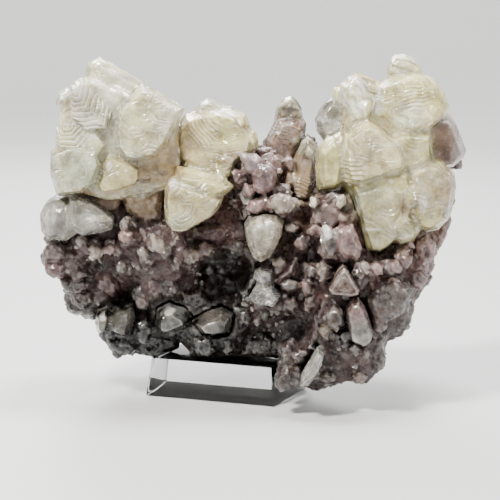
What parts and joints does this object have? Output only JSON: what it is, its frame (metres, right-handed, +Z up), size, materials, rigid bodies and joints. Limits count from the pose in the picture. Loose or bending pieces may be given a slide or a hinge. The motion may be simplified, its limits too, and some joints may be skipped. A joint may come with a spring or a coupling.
{
  "type": "calcite specimen",
  "caption": "Natural calcite specimen: cream crystals in two raised clusters on a knobbly mauve matrix, resting on a small clear block.",
  "frame": {"origin": "on the surface the block stands on, under the middle of the whole object", "axes": "+X across the specimen's width, +Z up, the viewer is at -Y"},
  "size_m": [0.1288, 0.0666, 0.1039],
  "materials": {
    "clear_acrylic": "clear, polished",
    "mauve_calcite": "rough, sparkling, mauve-grey",
    "cream_calcite": "milky, satin",
    "beige_calcite": "milky, satin",
    "straw_calcite": "milky, satin",
    "pale_grey_calcite": "milky, satin",
    "clear_calcite": "clear, glassy",
    "pink_calcite": "half clear, satin",
    "pearly_calcite": "pearly",
    "rust_zoned_calcite": "zoned, satin",
    "white_calcite": "sparkling white",
    "mauve_crystal": "half clear, satin"
  },
  "bodies": {
    "root": {"display_block": "clear_acrylic", "matrix": "mauve_calcite", "cream_crystals_left": "cream_calcite", "cream_crystals_middle": "beige_calcite", "cream_crystals_right": "straw_calcite", "pale_crystal_left": "pale_grey_calcite", "clear_crystal_right": "clear_calcite", "tall_spire": "pink_calcite", "short_spire": "pink_calcite", "pearly_crystal": "pearly_calcite", "triangular_crystal": "rust_zoned_calcite", "white_druse": "white_calcite", "hanging_crystal": "pink_calcite", "white_blade": "white_calcite", "mauve_crystal_right": "mauve_crystal", "clear_crystal_low_left": "clear_calcite", "clear_point_low_left": "clear_calcite", "side_point": "clear_calcite"}
  },
  "joints": []
}
